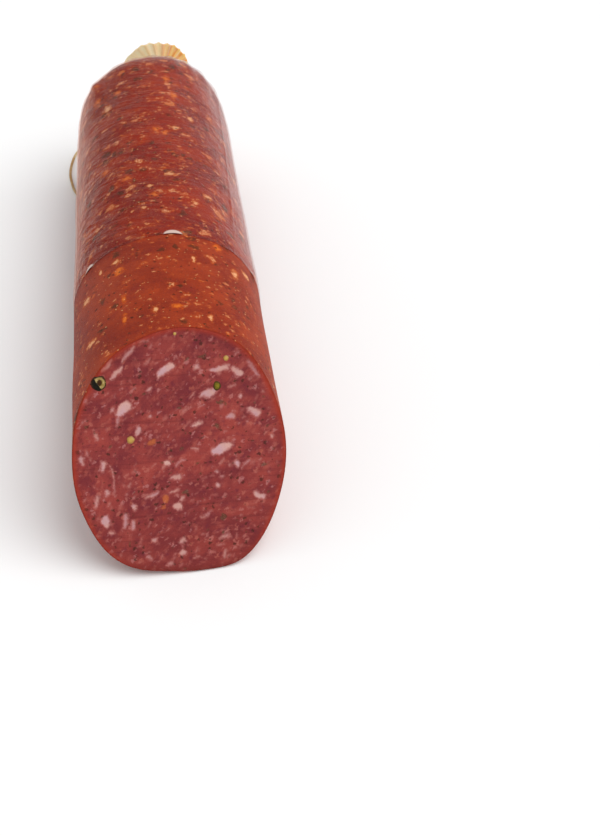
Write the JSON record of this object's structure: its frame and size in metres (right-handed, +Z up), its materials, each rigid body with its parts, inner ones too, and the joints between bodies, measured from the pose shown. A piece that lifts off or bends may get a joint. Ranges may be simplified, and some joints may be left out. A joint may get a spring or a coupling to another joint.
{
  "type": "cooked salami",
  "caption": "Cooked salami log cut on the bias, peeled at the cut end, with the casing gathered and tied with twine at the other end, and a hanging loop of the twine lying beside it.",
  "frame": {"origin": "on the table, under the middle of the log with its tied tail, the hanging loop left out", "axes": "+Y along the log from the cut face to the tied tail, +Z up, +X to the right as seen from the cut face"},
  "size_m": [0.0856, 0.3554, 0.0718],
  "materials": {
    "meat": "moist cooked meat with fat and pepper, satin",
    "casing": "thin clear film over the meat, cream where it is gathered, gloss",
    "twine": "twisted cotton, matt"
  },
  "bodies": {
    "root": {"meat": "meat", "casing": "casing", "twine_tie": "twine", "twine_loop": "twine"}
  },
  "joints": []
}
